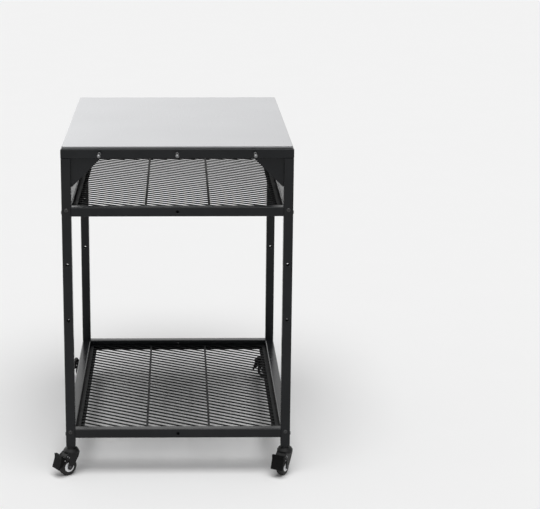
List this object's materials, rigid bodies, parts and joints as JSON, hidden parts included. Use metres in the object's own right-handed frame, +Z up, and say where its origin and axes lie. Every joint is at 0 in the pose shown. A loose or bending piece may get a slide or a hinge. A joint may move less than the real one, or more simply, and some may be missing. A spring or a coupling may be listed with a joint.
{
  "type": "outdoor pizza oven table",
  "caption": "Wheeled steel side table for a pizza oven: steel worktop, square-tube frame, slotted shelves, tool pegs and braked castors.",
  "frame": {"origin": "on the floor, midway between the four posts, where the wheels stand", "axes": "+Z up, -Y towards the front with the tool pegs, +X to the right as seen from the front"},
  "size_m": [0.6491, 0.8637, 0.9],
  "materials": {
    "worktop_steel": "brushed along the long side, satin",
    "frame_black": "satin powder coat with a fine texture",
    "shelf_black": "satin powder coat with a fine texture",
    "bright_steel": "polished",
    "zinc_steel": "zinc plated, dull",
    "black_fastener": "black finish, satin",
    "plug_plastic": "matt",
    "castor_plastic": "satin moulded nylon",
    "pedal_plastic": "satin moulded nylon",
    "castor_pins": "zinc plated, bright",
    "tyre_rubber": "matt",
    "hub_plastic": "moulded, light grey"
  },
  "bodies": {
    "frame": {"castor_front_left_stem": "zinc_steel", "castor_front_right_stem": "zinc_steel", "castor_rear_left_stem": "zinc_steel", "castor_rear_right_stem": "zinc_steel", "foot_plugs": "plug_plastic", "gusset_plates": "frame_black", "lower_shelf_ledges": "shelf_black", "lower_shelf_panel": "shelf_black", "lower_shelf_rail_front": "frame_black", "lower_shelf_rail_left": "frame_black", "lower_shelf_rail_rear": "frame_black", "lower_shelf_rail_right": "frame_black", "lower_shelf_webs": "shelf_black", "post_front_left": "frame_black", "post_front_right": "frame_black", "post_rear_left": "frame_black", "post_rear_right": "frame_black", "rail_end_plugs": "plug_plastic", "shelf_bolts": "black_fastener", "tool_peg_nuts": "bright_steel", "tool_pegs": "bright_steel", "top_rail_front": "frame_black", "top_rail_left": "frame_black", "top_rail_rear": "frame_black", "top_rail_right": "frame_black", "upper_shelf_ledges": "shelf_black", "upper_shelf_panel": "shelf_black", "upper_shelf_rail_front": "frame_black", "upper_shelf_rail_left": "frame_black", "upper_shelf_rail_rear": "frame_black", "upper_shelf_rail_right": "frame_black", "upper_shelf_webs": "shelf_black", "worktop": "worktop_steel", "worktop_channels": "zinc_steel", "worktop_nuts": "zinc_steel", "worktop_screws": "black_fastener"},
    "swivel_front_left": {"castor_front_left_fork": "castor_plastic", "castor_front_left_axle": "black_fastener", "castor_front_left_pins": "castor_pins"},
    "wheel_front_left": {"castor_front_left_tyre": "tyre_rubber", "castor_front_left_hub": "hub_plastic"},
    "pedal_front_left": {"castor_front_left_brake_pedal": "pedal_plastic"},
    "swivel_front_right": {"castor_front_right_fork": "castor_plastic", "castor_front_right_axle": "black_fastener", "castor_front_right_pins": "castor_pins"},
    "wheel_front_right": {"castor_front_right_tyre": "tyre_rubber", "castor_front_right_hub": "hub_plastic"},
    "pedal_front_right": {"castor_front_right_brake_pedal": "pedal_plastic"},
    "swivel_rear_left": {"castor_rear_left_fork": "castor_plastic", "castor_rear_left_axle": "black_fastener", "castor_rear_left_pins": "castor_pins"},
    "wheel_rear_left": {"castor_rear_left_tyre": "tyre_rubber", "castor_rear_left_hub": "hub_plastic"},
    "pedal_rear_left": {"castor_rear_left_brake_pedal": "pedal_plastic"},
    "swivel_rear_right": {"castor_rear_right_fork": "castor_plastic", "castor_rear_right_axle": "black_fastener", "castor_rear_right_pins": "castor_pins"},
    "wheel_rear_right": {"castor_rear_right_tyre": "tyre_rubber", "castor_rear_right_hub": "hub_plastic"},
    "pedal_rear_right": {"castor_rear_right_brake_pedal": "pedal_plastic"}
  },
  "joints": [
    {"name": "swivel_turn_front_left", "type": "hinge", "parent": "frame", "child": "swivel_front_left", "pos_m": [-0.2875, -0.3875, 0], "axis": [0, 0, 1], "continuous": true},
    {"name": "wheel_roll_front_left", "type": "hinge", "parent": "swivel_front_left", "child": "wheel_front_left", "pos_m": [-0.29733, -0.39438, 0.025], "axis": [0.5736, -0.8192, 0], "continuous": true},
    {"name": "pedal_release_front_left", "type": "hinge", "parent": "swivel_front_left", "child": "pedal_front_left", "pos_m": [-0.31207, -0.40471, 0.049], "axis": [-0.5736, 0.8192, 0], "range_deg": [0, 20]},
    {"name": "swivel_turn_front_right", "type": "hinge", "parent": "frame", "child": "swivel_front_right", "pos_m": [0.2875, -0.3875, 0], "axis": [0, 0, 1], "continuous": true},
    {"name": "wheel_roll_front_right", "type": "hinge", "parent": "swivel_front_right", "child": "wheel_front_right", "pos_m": [0.2815, -0.39789, 0.025], "axis": [0.866, -0.5, 0], "continuous": true},
    {"name": "pedal_release_front_right", "type": "hinge", "parent": "swivel_front_right", "child": "pedal_front_right", "pos_m": [0.2725, -0.41348, 0.049], "axis": [-0.866, 0.5, 0], "range_deg": [0, 20]},
    {"name": "swivel_turn_rear_left", "type": "hinge", "parent": "frame", "child": "swivel_rear_left", "pos_m": [-0.2875, 0.3875, 0], "axis": [0, 0, 1], "continuous": true},
    {"name": "wheel_roll_rear_left", "type": "hinge", "parent": "swivel_rear_left", "child": "wheel_rear_left", "pos_m": [-0.29932, 0.38958, 0.025], "axis": [-0.1736, -0.9848, 0], "continuous": true},
    {"name": "pedal_release_rear_left", "type": "hinge", "parent": "swivel_rear_left", "child": "pedal_rear_left", "pos_m": [-0.31704, 0.39271, 0.049], "axis": [0.1736, 0.9848, 0], "range_deg": [0, 20]},
    {"name": "swivel_turn_rear_right", "type": "hinge", "parent": "frame", "child": "swivel_rear_right", "pos_m": [0.2875, 0.3875, 0], "axis": [0, 0, 1], "continuous": true},
    {"name": "wheel_roll_rear_right", "type": "hinge", "parent": "swivel_rear_right", "child": "wheel_rear_right", "pos_m": [0.27662, 0.39257, 0.025], "axis": [-0.4226, -0.9063, 0], "continuous": true},
    {"name": "pedal_release_rear_right", "type": "hinge", "parent": "swivel_rear_right", "child": "pedal_rear_right", "pos_m": [0.26031, 0.40018, 0.049], "axis": [0.4226, 0.9063, 0], "range_deg": [0, 20]}
  ]
}
